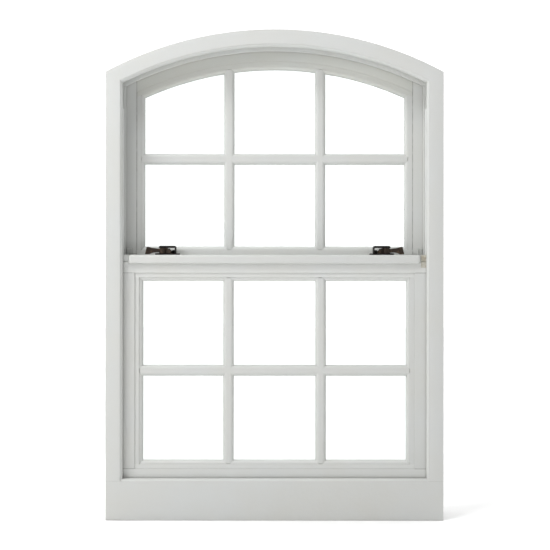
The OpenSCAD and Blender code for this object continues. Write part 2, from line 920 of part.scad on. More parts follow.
module meeting_seal() {
    color(seal_grey) translate([-quirk_x, 0, 0]) rotate([90, 0, 90]) linear_extrude(2 * quirk_x)
        polygon([for (p = seal()) [upper_y - meet_pad + p[0], seal_z + p[1]]]);
}

// A ribbed pile pad on each upper stile, just above the lower sash
module dust_pads() {
    z0 = meet_z - 2;
    x0 = quirk_x + 13;
    color(shade_white) pair() {
        block([x0, upper_y - 2, z0], [x0 + pad_w, upper_y, z0 + pad_h]);
        for (i = [0:3])
            translate([x0 + i * (pad_w - pad_rib) / 3, upper_y - 6, z0]) cube([pad_rib, 5, pad_h]);
    }
}

// ---- Balances ----

// One balance tube hung from its flattened top by a screw into the jamb
module balance_tube(y, z0, z1) {
    mid = y + sash_t / 2;
    bar_z = z1 - tube_tab_h;
    difference() {
        union() {
            translate([tube_x, mid, z0]) cylinder(h = bar_z - z0, r = tube_r, $fn = 48);
            block([tube_x, mid - tube_r, bar_z - 4], [tube_x + tube_r, mid + tube_r, z1]);
        }
        translate([tube_x, mid, z0 - 1]) cylinder(h = bar_z - 8 - z0, r = tube_bore_r, $fn = 48);
        tube_screws(screw_play);
    }
}

module lower_balance_tubes() {
    color(metal) pair() balance_tube(lower_y, lower_tube_z0, lower_tube_z0 + lower_tube_l);
}

module upper_balance_tubes() {
    color(metal) pair() balance_tube(upper_y, upper_tube_z0, upper_tube_z1);
}

module balance_screws() {
    color(metal) pair() tube_screws();
}

// The rod that runs up into a tube, on a foot fixed in the sash's groove
module balance_rod(y, z0, z1) {
    mid = y + sash_t / 2;
    block([tube_groove_x, mid - tube_groove_w / 2 + 0.2, z0],
        [sash_x, mid + tube_groove_w / 2 - 0.2, z0 + tube_foot_h]);
    translate([tube_x, mid, z0 + tube_foot_h - 1])
        cylinder(h = z1 - z0 - tube_foot_h + 1, r = rod_r, $fn = 32);
}

module lower_balance_rods() {
    color(metal) pair() balance_rod(lower_y, lower_z, lower_tube_z0 + rod_grip + 10);
}

module upper_balance_rods() {
    color(metal) pair() balance_rod(upper_y, upper_z, upper_rod_z1);
}

// ---- Locks ----

// The two screws through the right lock's foot
module lock_screw_set(play = 0) {
    for (x = [(foot_x0 + house_x0) / 2, (foot_x1 + house_x1) / 2 + 1])
        translate([x, lock_y, meet_z + foot_t]) screw(lock_screw, play);
}

// The two screws that hold the right keeper
module keeper_screw_set(play = 0) {
    for (x = [keeper_x0 + 6, keeper_x1 - 6])
        translate([x, keeper_y + keeper_d - keeper_lip, slot_z0 + slot_h / 2])
            rotate([90, 0, 0]) screw(lock_screw, play);
}

// A rectangle from corner a to corner b with rounded corners
module rounded(a, b, r) {
    translate([a[0] + r, a[1]]) square([b[0] - a[0] - 2 * r, b[1] - a[1]]);
    translate([a[0], a[1] + r]) square([b[0] - a[0], b[1] - a[1] - 2 * r]);
    for (x = [a[0] + r, b[0] - r], y = [a[1] + r, b[1] - r])
        translate([x, y]) circle(r, $fn = 32);
}

// Front view of the lock's end wall and roof
module house_outline() {
    roof_z = meet_z + house_h - roof_t;
    difference() {
        rounded([house_x0, meet_z - 8], [house_x1, meet_z + house_h], 5);
        translate([house_x0 + wall_t, meet_z - 10]) square([house_l, roof_z - meet_z + 10]);
        translate([house_x0 - 1, meet_z - 10]) square([house_l, 11]);
    }
}

// The lock's foot, end wall, roof and back fence, cast in one; open to the front and the lever
module lock_body(side) {
    back = foot_y + foot_d;
    color(bronze) sided(side) difference() {
        union() {
            translate([0, 0, meet_z]) linear_extrude(foot_t)
                rounded([foot_x0, foot_y], [foot_x1, back], 6);
            front(foot_y + 2, back - 1) house_outline();
            block([house_x0 + 1, back - 4, meet_z + 1], [house_x0 + 12.6, back - 1, meet_z + 14.5]);
        }
        translate([lock_x, lock_y, meet_z - 1])
            cylinder(h = house_h - 1, r = pin_r + pin_play, $fn = 32);
        lock_screw_set(screw_play);
    }
}

module lock_pins() {
    color(metal) pair() translate([lock_x, lock_y, meet_z + 0.2])
        cylinder(h = house_h - 2.5, r = pin_r, $fn = 32);
}

module lock_screws() {
    color(bronze) pair() lock_screw_set();
}

// Side view of the lever, from the pivot outwards, above the rail
module lever_side() {
    top = house_h - roof_t - 1.8;
    polygon([
        [0, top], [14, top - 0.4], [lever_l - 22, top + 1.8], [lever_l - 9, top + 4.9],
        [lever_l - 5, top + 4.9], [lever_l, 2.2], [lever_l - 12, 2.2],
        [lever_l - 18, foot_t + 0.6], [lever_l - 26, foot_t + 2.6], [14, foot_t + 3.7],
        [0, foot_t + 3.7]
    ]);
}

// Plan of the lever: a paddle that widens towards its end
module lever_plan() {
    polygon([[0, -5.5], [lever_l - 6, -7.5], [lever_l - 2, -4], [lever_l - 2, 4],
        [lever_l - 6, 7.5], [0, 5.5]]);
    translate([lever_l - 3, 0]) square([8, 8], center = true);
}

// The lever with its hub, and the cam on the hub's far side that reaches into the keeper
module lock_lever(side) {
    z0 = foot_t + lock_play;
    z1 = house_h - roof_t - lock_play;
    color(bronze) sided(side) translate([lock_x, lock_y, meet_z]) difference() {
        union() {
            translate([0, 0, z0]) cylinder(h = z1 - z0, r = hub_r, $fn = 64);
            intersection() {
                front(-12, 12) lever_side();
                linear_extrude(house_h + 10) lever_plan();
            }
            rotate_extrude(angle = 2 * cam_half_angle, start = cam_rest_angle - cam_half_angle, $fn = 96)
                polygon([[hub_r - 2, cam_z - meet_z], [cam_r, cam_z - meet_z],
                    [cam_r, cam_z - meet_z + cam_edge_h], [14, z1 - 0.4], [hub_r - 2, z1 - 0.4]]);
        }
        translate([0, 0, z0 - 1]) cylinder(h = z1 - z0 + 2, r = pin_r + pin_play, $fn = 32);
    }
}

// The channel on the upper sash that the cam turns into
module keeper(side) {
    color(bronze) sided(side) difference() {
        block([keeper_x0, keeper_y, slot_z0 - keeper_lip],
            [keeper_x1, keeper_y + keeper_d, slot_z0 + slot_h + keeper_lip]);
        block([keeper_x0 - 1, keeper_y - 1, slot_z0],
            [keeper_x1 + 1, keeper_y + keeper_d - keeper_lip, slot_z0 + slot_h]);
        keeper_screw_set(screw_play);
    }
}

module keeper_screws() {
    color(bronze) pair() keeper_screw_set();
}

module jamb_left() { jamb(-1); }
module jamb_right() { jamb(1); }
module casing_left() { casing_side(-1); }
module casing_right() { casing_side(1); }
module inside_stop_left() { inside_stop_side(-1); }
module inside_stop_right() { inside_stop_side(1); }
module parting_stop_left() { parting_stop_side(-1); }
module parting_stop_right() { parting_stop_side(1); }
module outside_stop_left() { outside_stop_side(-1); }
module outside_stop_right() { outside_stop_side(1); }
module lower_stile_left() { lower_stile(-1); }
module lower_stile_right() { lower_stile(1); }
module upper_stile_left() { upper_stile(-1); }
module upper_stile_right() { upper_stile(1); }
module lock_body_left() { lock_body(-1); }
module lock_body_right() { lock_body(1); }
module lock_lever_left() { lock_lever(-1); }
module lock_lever_right() { lock_lever(1); }
module keeper_left() { keeper(-1); }
module keeper_right() { keeper(1); }

jamb_left();
jamb_right();
head_jamb();
sill();
sub_sill();
casing_left();
casing_right();
casing_head();
casing_bottom();
inside_stop_left();
inside_stop_right();
inside_stop_head();
inside_stop_bottom();
parting_stop_left();
parting_stop_right();
parting_stop_head();
outside_stop_left();
outside_stop_right();
outside_stop_head();
frame_screws();
lower_balance_tubes();
upper_balance_tubes();
balance_screws();
lower_stile_left();
lower_stile_right();
lower_bottom_rail();
lower_check_rail();
lower_nosing();
lower_end_plugs();
lower_inner_pane();
lower_outer_pane();
lower_spacer();
lower_inner_bars();
lower_outer_bars();
lower_glazing_beads();
lower_bottom_seal();
lower_balance_rods();
lock_body_left();
lock_body_right();
lock_pins();
lock_screws();
lock_lever_left();
lock_lever_right();
upper_stile_left();
upper_stile_right();
upper_head_rail();
upper_check_rail();
upper_inner_pane();
upper_outer_pane();
upper_spacer();
upper_inner_bars();
upper_outer_bars();
upper_glazing_beads();
head_seal();
meeting_seal();
dust_pads();
keeper_left();
keeper_right();
keeper_screws();
upper_balance_rods();
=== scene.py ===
# %% [markdown]
# # An arched sash window, painted and lit
# The window is a real piece of joinery: a frame, two sliding sashes, glass, and two turning
# locks. The CAD model already holds every part at its true size, so this lesson adds what
# CAD leaves out: eased and paint-softened edges, the line where paint laps onto the glass,
# brush marks, painted shade in the quirks, worn bronze, and light.

# %% Load the frame
import json
import math

import bmesh
import bpy
import numpy as np
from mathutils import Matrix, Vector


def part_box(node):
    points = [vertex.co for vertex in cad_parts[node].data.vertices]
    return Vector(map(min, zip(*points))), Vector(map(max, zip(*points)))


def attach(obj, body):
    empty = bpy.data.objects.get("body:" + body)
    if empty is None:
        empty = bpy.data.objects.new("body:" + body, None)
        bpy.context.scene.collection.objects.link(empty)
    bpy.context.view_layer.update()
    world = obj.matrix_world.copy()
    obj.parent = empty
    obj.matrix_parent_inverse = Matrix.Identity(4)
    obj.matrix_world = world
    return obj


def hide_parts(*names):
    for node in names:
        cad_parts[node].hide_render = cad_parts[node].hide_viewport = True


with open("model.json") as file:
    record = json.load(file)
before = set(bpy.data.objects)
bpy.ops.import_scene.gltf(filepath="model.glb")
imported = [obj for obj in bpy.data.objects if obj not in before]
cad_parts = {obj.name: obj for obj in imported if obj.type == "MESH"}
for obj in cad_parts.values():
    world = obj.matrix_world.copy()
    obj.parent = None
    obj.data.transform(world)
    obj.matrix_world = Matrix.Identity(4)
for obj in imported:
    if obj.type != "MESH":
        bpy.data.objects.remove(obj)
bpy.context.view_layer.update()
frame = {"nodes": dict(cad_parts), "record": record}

# %% [markdown]
# ## The camera
# Straight trim shows every degree of tilt, so the camera stands level with the middle of the
# window and looks straight at it. It is far back with a long lens, which keeps the reveals
# narrow: only a little of the inner faces of the frame shows round each sash.

# %% Place the camera
casing_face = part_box("casing_bottom")[0][1]
camera_away = 3.8
camera_data = bpy.data.cameras.new("camera")
camera_data.sensor_width = 36.0
camera_data.lens = 86.96
camera = bpy.data.objects.new("camera", camera_data)
bpy.context.collection.objects.link(camera)
camera.location = (0.0011, casing_face - camera_away, 0.702)
camera.rotation_euler = (math.radians(90), math.radians(-0.04), 0)
bpy.context.scene.camera = camera
print("camera", [round(v, 3) for v in camera.location], "lens", camera_data.lens)

# %% [markdown]
# ## A grid becomes a piece
# Every new piece here is one idea: a rectangular grid of points, worked out as a whole array,
# whose rows run along a member and whose columns run round its section. The same helper
# turns any such grid into a mesh, closes it where asked, and hangs it on its body.

# %% Turn a grid of points into a piece
def grid_faces(rows, cols, wrap_rows):
    """Quads of a rows x cols grid whose columns always close on themselves.

    Corner (i, j) joins (i+1, j), (i+1, j+1) and (i, j+1), with j counted round the section,
    and i too where the member itself is a closed ring.
    """
    i, j = np.meshgrid(np.arange(rows if wrap_rows else rows - 1), np.arange(cols), indexing="ij")
    below, beside = (i + 1) % rows, (j + 1) % cols
    corners = [i * cols + j, below * cols + j, below * cols + beside, i * cols + beside]
    return np.stack(corners, -1).reshape(-1, 4)


def make_piece(name, grids, body, stands_for=(), ring=False, sharp=32):
    """One mesh from several grids of shape (rows, columns, 3), closed by end caps or as rings.

    Edges between faces that meet at more than sharp degrees stay crisp.
    """
    points, faces, start = [], [], 0
    for grid in grids:
        rows, cols, _ = grid.shape
        faces += (grid_faces(rows, cols, ring) + start).tolist()
        if not ring:
            last_row = start + (rows - 1) * cols
            faces += [list(range(start, start + cols)), list(range(last_row, last_row + cols))]
        points.append(grid.reshape(-1, 3))
        start += rows * cols
    mesh = bpy.data.meshes.new(name)
    mesh.from_pydata(np.concatenate(points).tolist(), [], faces)
    work = bmesh.new()
    work.from_mesh(mesh)
    bmesh.ops.recalc_face_normals(work, faces=work.faces)
    work.to_mesh(mesh)
    work.free()
    mesh.shade_smooth()
    mesh.set_sharp_from_angle(angle=math.radians(sharp))
    piece = bpy.data.objects.new(name, mesh)
    bpy.context.collection.objects.link(piece)
    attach(piece, body)
    if stands_for:
        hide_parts(*stands_for)
    print(name, "faces", len(mesh.polygons), "rides on", body)
    return piece


# %% [markdown]
# ## Loops round an opening
# The opening has a flat bottom, upright sides and an arched top. Growing it outwards by a
# distance d moves each side by d, and swells the arch's radius by d about the same centre.
# Where two grown sides meet is the mitre, so a moulding carried round the loop mitres itself.

# %% Work out a loop and carry a section round it
arch_z = 0.381  # height of the centre that every arch shares, in metres


def top_edge(x, top, grow):
    """Height over x. A flat top at height top >= 0 rises by grow. An arched one is given as
    top = -radius, and its height is arch_z + sqrt((radius + grow)^2 - x^2)."""
    if top >= 0:
        return np.broadcast_to(top + grow, x.shape)
    return arch_z + np.sqrt((-top + grow) ** 2 - x ** 2)


def loop_grid(left, right, bottom, top, section, side_steps=1, top_steps=48, open_at=None):
    """A section of (grow outwards, depth) pairs carried round an opening.

    Rows go along the bottom, up the right, over the top from right to left and down the left.
    Each row holds the whole section, grown by its own distances, so corners come out mitred.
    An open loop skips the bottom and stands on the height open_at.
    """
    grow, depth = np.asarray(section, float).T
    low, high_l, high_r = bottom - grow, left - grow, right + grow
    s = np.linspace(0, 1, top_steps + 1)[:, None]
    x_top = high_r + s * (high_l - high_r)
    z_top = top_edge(x_top, top, grow)
    if open_at is not None:
        low = np.full_like(grow, open_at)
    t = np.arange(side_steps)[:, None] / side_steps
    rows_x = [np.broadcast_to(high_r, (side_steps, len(grow))), x_top,
              np.broadcast_to(high_l, (side_steps, len(grow)))]
    rows_z = [low + t * (z_top[0] - low), z_top,
              z_top[-1] + (t + 1 / side_steps) * (low - z_top[-1])]
    if open_at is None:
        k = np.arange(1, side_steps)[:, None] / side_steps
        rows_x.append(high_l + k * (high_r - high_l))
        rows_z.append(np.broadcast_to(low, (side_steps - 1, len(grow))))
    x, z = np.concatenate(rows_x), np.concatenate(rows_z)
    return np.stack([x, np.broadcast_to(depth, x.shape), z], -1)


def eased(corners, radii, steps=4):
    """A section whose sharp corners are rounded: near each corner P the line bends along
    (1-s)^2 A + 2s(1-s) P + s^2 B, where A and B lie one radius away on either side."""
    p = np.asarray(corners, float)
    before, after = np.roll(p, 1, 0) - p, np.roll(p, -1, 0) - p
    r = np.asarray(radii, float)[:, None]
    a = p + before / np.linalg.norm(before, axis=1, keepdims=True) * r
    b = p + after / np.linalg.norm(after, axis=1, keepdims=True) * r
    s = np.linspace(0, 1, steps + 1)[None, :, None]
    curve = (1 - s) ** 2 * a[:, None] + 2 * s * (1 - s) * p[:, None] + s ** 2 * b[:, None]
    keep = np.where(r[:, 0] > 0, steps + 1, 1)
    return np.concatenate([curve[i, :n] for i, n in enumerate(keep)])


print("an eased square has", len(eased([[0, 0], [1, 0], [1, 1], [0, 1]], [0.1] * 4)), "points")

# %% [markdown]
# ## Casing
# The casing is the flat trim that covers the joint between frame and wall. Its boards leave
# the mill with their edges just eased, and each coat of paint rounds them a little more. One
# section carried up one side, round the arch and down the other gives all three boards, with
# the joints at the springing of the arch filled and painted over, as they are on the real one.

# %% Make the casing
casing_low, casing_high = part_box("casing_right")
casing_wide = casing_high[0] - casing_low[0]
face, back = casing_low[1], casing_high[1]
opening_half = casing_low[0]
casing_outer_radius = 1.024
casing_radius = casing_outer_radius - casing_wide
casing_section = eased(
    [[0, back], [0, face], [casing_wide, face], [casing_wide, back]], [0, 0.0010, 0.0008, 0])
casing_grid = loop_grid(-opening_half, opening_half, 0, -casing_radius, casing_section,
                        top_steps=120, open_at=casing_low[2])
casing = make_piece("casing_boards", [casing_grid], "frame",
                    ["casing_left", "casing_right", "casing_head"])

board_low, board_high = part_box("casing_bottom")
board_section = eased(
    [[board_low[2], back], [board_low[2], face], [board_high[2], face], [board_high[2], back]],
    [0, 0.0008, 0.0006, 0])
end_ease = 0.0008
ends = np.array([board_low[0], board_low[0] + end_ease, board_high[0] - end_ease, board_high[0]])
tuck = np.array([end_ease, 0, 0, end_ease])
board_grid = np.stack([
    np.broadcast_to(ends[:, None], (4, len(board_section))),
    np.maximum(board_section[:, 1], face + tuck[:, None]),
    np.broadcast_to(board_section[:, 0], (4, len(board_section)))], -1)
bottom_board = make_piece("casing_bottom_board", [board_grid], "frame", ["casing_bottom"])

# %% [markdown]
# ## Inside stops
# The stops hold the lower sash in its track. Each has a chamfer towards the opening, which
# catches the light as a bright line on one side and a dark one on the other. The ring is
# closed and mitred at all four corners.

# %% Make the inside stops
stop_low, stop_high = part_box("inside_stop_right")
clear_half = stop_low[0]
clear_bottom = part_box("inside_stop_bottom")[1][2]
clear_radius = casing_radius - (opening_half - clear_half)
lip, tongue = opening_half - clear_half, stop_high[0] - clear_half
chamfer_depth = 0.007
stop_section = eased(
    [[lip, face], [lip, back], [tongue, back], [tongue, stop_high[1]], [0, stop_high[1]],
     [0, face + chamfer_depth]],
    [0.0008, 0, 0, 0, 0.0006, 0.0009])
stops = make_piece(
    "inside_stops",
    [loop_grid(-clear_half, clear_half, clear_bottom, -clear_radius, stop_section)],
    "frame", ["inside_stop_left", "inside_stop_right", "inside_stop_head", "inside_stop_bottom"],
    ring=True)

# %% [markdown]
# ## Nosing
# The nosing is the finger grip along the top of the lower sash. Its section is nearly a
# quarter round above and eased below, and both ends turn back into the sash in the same
# curve, like a bullnosed step. Shrinking the section towards its back over the last few
# millimetres, along a quarter of a circle, makes that return.

# %% Make the nosing
nose_low, nose_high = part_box("lower_nosing")
sash_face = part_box("lower_stile_right")[0][1]
nose_section = eased(
    [[sash_face, nose_low[2]], [nose_low[1], nose_low[2]],
     [nose_low[1], nose_high[2]], [sash_face, nose_high[2]]],
    [0, 0.004, 0.009, 0], steps=8)
return_length = 0.009
along = np.sin(np.linspace(0, np.pi / 2, 9)) * return_length
half_nose = nose_high[0]
right_end = half_nose - return_length + along
stations = np.unique(np.concatenate([-right_end, right_end]))
past = np.clip((np.abs(stations) - (half_nose - return_length)) / return_length, 0, 1)
smallest = 0.04
shrink = np.sqrt(np.clip(1 - past ** 2, smallest ** 2, 1))[:, None]
nose_mid = nose_low[2] + 0.010
nose_grid = np.stack([
    np.broadcast_to(stations[:, None], (len(stations), len(nose_section))),
    sash_face + (nose_section[:, 0] - sash_face) * shrink,
    nose_mid + (nose_section[:, 1] - nose_mid) * (0.72 + 0.28 * shrink)], -1)
nosing = make_piece("nosing", [nose_grid], "lower_sash", ["lower_nosing"])

# %% [markdown]
# ## Where the paint laps onto the glass
# A painter cutting in round a pane leaves a thin, slightly wandering film on the glass, just
# over half a millimetre wide. It seals the pane, and it is what softens the hard line between
# bar and glass. Each pane gets a closed loop whose inner edge wanders by a sum of sines.

# %% Lap the paint round every pane
def wander(points, seed):
    """Moves the inner edge of a lap: 0.1 mm times a sum of three sines of the way round."""
    way = np.linspace(0, 2 * np.pi, len(points), endpoint=False)[:, None]
    wave = (np.sin(9 * way + seed) + 0.6 * np.sin(23 * way + 2.1 * seed)
            + 0.4 * np.sin(51 * way + seed ** 2))
    return 0.0001 * wave


def paint_laps(sash, sight, bottom, top, cross, arched):
    """Grids for the six panes of one sash: three across, a lower row and an upper row."""
    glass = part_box(sash + "_inner_pane")[0][1]
    edges = [-sight, -bar_centre - bar_half, -bar_centre + bar_half,
             bar_centre - bar_half, bar_centre + bar_half, sight]
    section = np.array([[0.0003, -0.0010], [-0.0001, -0.0007], [-0.0003, -0.0003],
                        [-0.0006, -0.0001], [-0.0006, 0.0], [0.0003, 0.0]])
    share = np.array([0, 0.3, 0.7, 1, 1, 0])  # how much of the wander each corner takes
    grids = []
    for column in range(3):
        left, right = edges[2 * column], edges[2 * column + 1]
        for row, (low, high) in enumerate([(bottom, cross - bar_half), (cross + bar_half, top)]):
            grid = loop_grid(left, right, low, -high if arched and row else high,
                             section + [0, glass], side_steps=30, top_steps=30)
            shift = wander(grid, column + 3 * row + 1.0)
            middle = np.array([(left + right) / 2, 0, (low + min(high, 1.2)) / 2])
            inward = middle - grid
            inward[..., 1] = 0
            inward /= np.linalg.norm(inward, axis=-1, keepdims=True)
            grids.append(grid + inward * (shift * share)[..., None])
    return grids


bar_wide, ovolo = 0.0293, 0.01025
bar_spread = 0.0015  # how far outwards the upright bars stand from an even spacing
bar_drop = 0.003  # how far the upper cross bar stands below the middle of its panes
bar_half = bar_wide / 2
bar_low, bar_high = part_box("lower_inner_bars")
sight_half = bar_high[0] - ovolo
bar_centre = (2 * sight_half - 4 * bar_half) / 6 + bar_half + bar_spread
lower_sight = (bar_low[2] + ovolo, bar_high[2] - ovolo)
upper_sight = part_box("upper_inner_bars")[0][2] + ovolo
sight_radius = 0.9235
lower_cross = sum(lower_sight) / 2
upper_cross = (upper_sight + arch_z + sight_radius) / 2 - bar_drop
lower_laps = make_piece("lower_paint_laps", paint_laps(
    "lower", sight_half, lower_sight[0], lower_sight[1], lower_cross, False),
    "lower_sash", ring=True, sharp=60)
upper_laps = make_piece("upper_paint_laps", paint_laps(
    "upper", sight_half, upper_sight, sight_radius, upper_cross, True),
    "upper_sash", ring=True, sharp=60)

# %% [markdown]
# ## Building a material from nodes
# A material is a small graph. Two helpers keep the graphs readable: one adds a node with its
# settings, and one starts a material with its shader already wired to the output.

# %% Helpers for materials
def add(tree, kind, settings=None, **inputs):
    """Adds a node, sets its own settings, then sets or links each input. An input is named,
    with _ for a space, or numbered, as in _2."""
    node = tree.nodes.new("ShaderNode" + kind)
    for key, value in (settings or {}).items():
        setattr(node, key, value)
    for key, value in inputs.items():
        socket = node.inputs[int(key[1:])] if key[0] == "_" else node.inputs[key.replace("_", " ")]
        if isinstance(value, bpy.types.NodeSocket):
            tree.links.new(value, socket)
        else:
            socket.default_value = value
    return node


def start(name, **shader_values):
    """A new material with one Principled shader; its plain numbers sit on its own sockets."""
    material = bpy.data.materials.new(name)
    material.use_nodes = True
    tree = material.node_tree
    tree.nodes.clear()
    shader = tree.nodes.new("ShaderNodeBsdfPrincipled")
    for key, value in shader_values.items():
        shader.inputs[key.replace("_", " ")].default_value = value
    output = tree.nodes.new("ShaderNodeOutputMaterial")
    tree.links.new(shader.outputs[0], output.inputs[0])
    return material, tree, shader


def blend(tree, amount, first, second):
    """Mixes two colours by an amount."""
    return add(tree, "Mix", {"data_type": "RGBA"}, _0=amount, _6=first, _7=second).outputs[2]


def maths(tree, operation, *values):
    """The result of one Math node on one or two values."""
    numbered = {"_" + str(i): value for i, value in enumerate(values)}
    return add(tree, "Math", {"operation": operation}, **numbered).outputs[0]


def remap(tree, value, low, high, at_low, at_high):
    """Carries low..high to at_low..at_high in a straight line, held level outside."""
    return add(tree, "MapRange", _0=value, _1=low, _2=high, _3=at_low, _4=at_high).outputs[0]


print("helpers ready")

# %% [markdown]
# ## White paint, brushed the way the wood runs
# Paint on joinery is brushed along each member, so the fine furrows run up a stile, across a
# rail and round the arch. One recipe serves all three. It turns the position on the window
# into two lengths, along the member and across it, and stretches a noise between them: a few
# millimetres wide and a hand long. Round the arch, along is the angle and across the radius.
# An occlusion term paints shade into the quirks, darkening the colour where little light
# reaches, and a bevel term rounds the light over edges that several coats have softened.

# %% Paint the wood
def member_lengths(tree, run):
    """Position as (along, depth, across): z up a stile, x across a rail, or the angle
    atan2(x, z - centre) and the radius sqrt(x^2 + (z - centre)^2) round the arch."""
    place = add(tree, "TexCoord").outputs["Object"]
    part = add(tree, "SeparateXYZ", _0=place)
    x, y, z = part.outputs
    if run == "upright":
        ends = (z, y, x)
    elif run == "level":
        ends = (x, y, z)
    else:
        rise = maths(tree, "SUBTRACT", z, arch_z)
        angle = maths(tree, "ARCTAN2", x, rise)
        flat = add(tree, "CombineXYZ", _0=x, _1=0.0, _2=rise).outputs[0]
        radius = add(tree, "VectorMath", {"operation": "LENGTH"}, _0=flat).outputs[1]
        ends = (angle, y, radius)
    return add(tree, "CombineXYZ", _0=ends[0], _1=ends[1], _2=ends[2]).outputs[0], place


def joint_line(tree, place, colour, at, across, past, strength):
    """Darkens the paint along one joint: strength * (1 - |c - at| / 1.3 mm), where c is the
    height or |x|, only where the other of the two is past a limit, and broken up by noise."""
    x, _, z = add(tree, "SeparateXYZ", _0=place).outputs
    side = maths(tree, "ABSOLUTE", x)
    measured, other = (z, side) if across == "height" else (side, z)
    off = maths(tree, "ABSOLUTE", maths(tree, "SUBTRACT", measured, at))
    line = remap(tree, off, 0.0, 0.0013, strength, 0.0)
    gate = remap(tree, other, past, past + 0.0005, 0.0, 1.0)
    worn = add(tree, "TexNoise", Vector=place, Scale=60.0, Detail=2.0).outputs[0]
    worn = remap(tree, worn, 0.3, 0.6, 0.45, 1.0)
    part = maths(tree, "MULTIPLY", maths(tree, "MULTIPLY", line, gate), worn)
    grime = (0.09, 0.085, 0.075, 1)
    return blend(tree, part, colour, grime)


def noise(tree, place, scale, detail, rough):
    """A noise value at each place."""
    node = add(tree, "TexNoise", Vector=place, Scale=scale, Detail=detail, Roughness=rough)
    return node.outputs[0]


def white_paint(name, run, white, painted_shade=0.5, joints=()):
    """White paint brushed along one run: up, level or round the arch.

    Warm patches, furrows, painted shade in the quirks (a painted-shade strength sets how much),
    specks, then one dark line for each joint. A joint is (at, across, past, strength), as joint_line
    takes them.
    """
    material, tree, shader = start(name, Specular_IOR_Level=0.45)
    lengths, place = member_lengths(tree, run)
    stretched = add(tree, "Mapping", _0=lengths, _3=(5.0, 300.0, 300.0)).outputs[0]
    strokes = noise(tree, stretched, 1.0, 4.0, 0.6)
    patches = noise(tree, place, 5.0, 4.0, 0.6)
    flow = noise(tree, place, 95.0, 2.0, 0.5)
    specks = noise(tree, place, 420.0, 2.0, 0.7)
    # Ambient occlusion marks where little light reaches; it is used to paint shade into the colour.
    shade_mask = add(tree, "AmbientOcclusion", {"samples": 6}, _1=0.011).outputs["AO"]
    warm = tuple(a * b for a, b in zip(white, (0.985, 0.955, 0.90))) + (1,)
    colour = tuple(white) + (1,)
    for amount, tone in [
            (remap(tree, patches, 0.35, 0.72, 0.0, 0.55), warm),
            (remap(tree, strokes, 0.36, 0.70, 0.0, 0.17), (0.62, 0.62, 0.58, 1)),
            # Painted shade: the colour darkens in quirks and recesses.
            (remap(tree, shade_mask, 0.15, 0.72, painted_shade, 0.0), (0.30, 0.29, 0.26, 1)),
            (remap(tree, specks, 0.70, 0.78, 0.0, 0.35), (0.45, 0.43, 0.38, 1))]:
        colour = blend(tree, amount, colour, tone)
    for joint in joints:
        colour = joint_line(tree, place, colour, *joint)
    tree.links.new(colour, shader.inputs["Base Color"])
    tree.links.new(remap(tree, patches, 0.3, 0.7, 0.34, 0.50), shader.inputs["Roughness"])
    round_over = add(tree, "Bevel", {"samples": 6}, _0=0.0007).outputs[0]
    soft = add(tree, "Bump", Strength=0.55, Distance=0.0006,
               Height=flow, Normal=round_over).outputs[0]
    brushed = add(tree, "Bump", Strength=0.5, Distance=0.00012,
                  Height=strokes, Normal=soft).outputs[0]
    tree.links.new(brushed, shader.inputs["Normal"])
    return material


room_white = (0.612, 0.624, 0.616)
# The sash rails take a lighter white than the room white: painted light, as light from above falls on
# their faces.
lit_rail_white = (0.661, 0.674, 0.665)
# The arched head rail takes a darker white: painted shade, as the arch above shades it.
shaded_head_white = (0.578, 0.588, 0.562)
paints = {run: white_paint("white_paint_" + run, run, room_white)
          for run in ("upright", "level", "arched")}
sticking = 0.023  # width of the moulding and fillet beside the glass
quirk_x = sight_half + sticking
lower_joints = [(lower_sight[0] - sticking, "height", quirk_x, 0.85),
                (lower_sight[1] + sticking, "height", quirk_x, 0.85)]
head_joints = [(quirk_x, "side", upper_cross, 0.9)]
upper_joints = [(quirk_x, "side", 0.0, 0.75)]
casing_joints = [(board_high[2], "height", opening_half, 0.25)]
sash_paint = white_paint("white_paint_lower_joints", "upright", room_white, joints=lower_joints)
# The lower rails use the lighter white, which is painted light, together with their joint lines.
lit_rail_paint = white_paint("white_paint_lower_rails_lit", "level", lit_rail_white, joints=lower_joints)
# The upper meeting rail uses the lighter white and almost no occlusion shade: painted light where
# light from above falls on it.
lit_meeting_paint = white_paint("white_paint_upper_meeting_lit", "level", lit_rail_white, painted_shade=0.05)
# The head rail uses the darker white, which is painted shade under the arch, together with its joint
# lines.
shaded_head_paint = white_paint("white_paint_upper_joints_shaded", "arched", shaded_head_white, joints=head_joints)
upper_stile_paint = white_paint("white_paint_upper_quirks", "upright", room_white,
                                joints=upper_joints)
casing_paint = white_paint("white_paint_casing", "upright", room_white, joints=casing_joints)
plain_timber = white_paint("primed_timber", "level", (0.62, 0.61, 0.57))
print("paints", sorted(m.name for m in paints.values()), plain_timber.name)

# %% [markdown]
# ## Glass
# Clear float glass is nearly nothing: a faint green in its thickness, a reflection, and a
# little haze where it has been wiped. The haze is a slight change of roughness in patches.
# Light on its way to a painted face passes straight through, so the gap between the two panes
# is lit as a real one is.

# %% Make the glass
glass, tree, shader = start("clear_glass", Base_Color=(0.985, 0.997, 0.992, 1), IOR=1.45,
                            Transmission_Weight=1.0, Specular_IOR_Level=0.4)
place = add(tree, "TexCoord").outputs["Object"]
smears = noise(tree, place, 9.0, 5.0, 0.6)
tree.links.new(remap(tree, smears, 0.45, 0.8, 0.0, 0.025), shader.inputs["Roughness"])
seen_by = add(tree, "LightPath").outputs
passing = maths(tree, "MAXIMUM", seen_by["Is Shadow Ray"], seen_by["Is Diffuse Ray"])
clear = add(tree, "BsdfTransparent", Color=(0.95, 0.965, 0.958, 1)).outputs[0]
pane = add(tree, "MixShader", _0=passing, _1=shader.outputs[0], _2=clear).outputs[0]
output = next(node for node in tree.nodes if node.type == "OUTPUT_MATERIAL")
tree.links.new(pane, output.inputs[0])
print(glass.name)

# %% [markdown]
# ## Bronze, steel, plastic and pile
# The locks are cast in metal with a dark bronze finish that hands have rubbed to brown. The
# plugs in the ends of the meeting rail are moulded in cream plastic, stained where the sash
# has rubbed; the left one was painted over. Small metal parts are zinc-plated or
# mill-finished, with fine drawing marks.

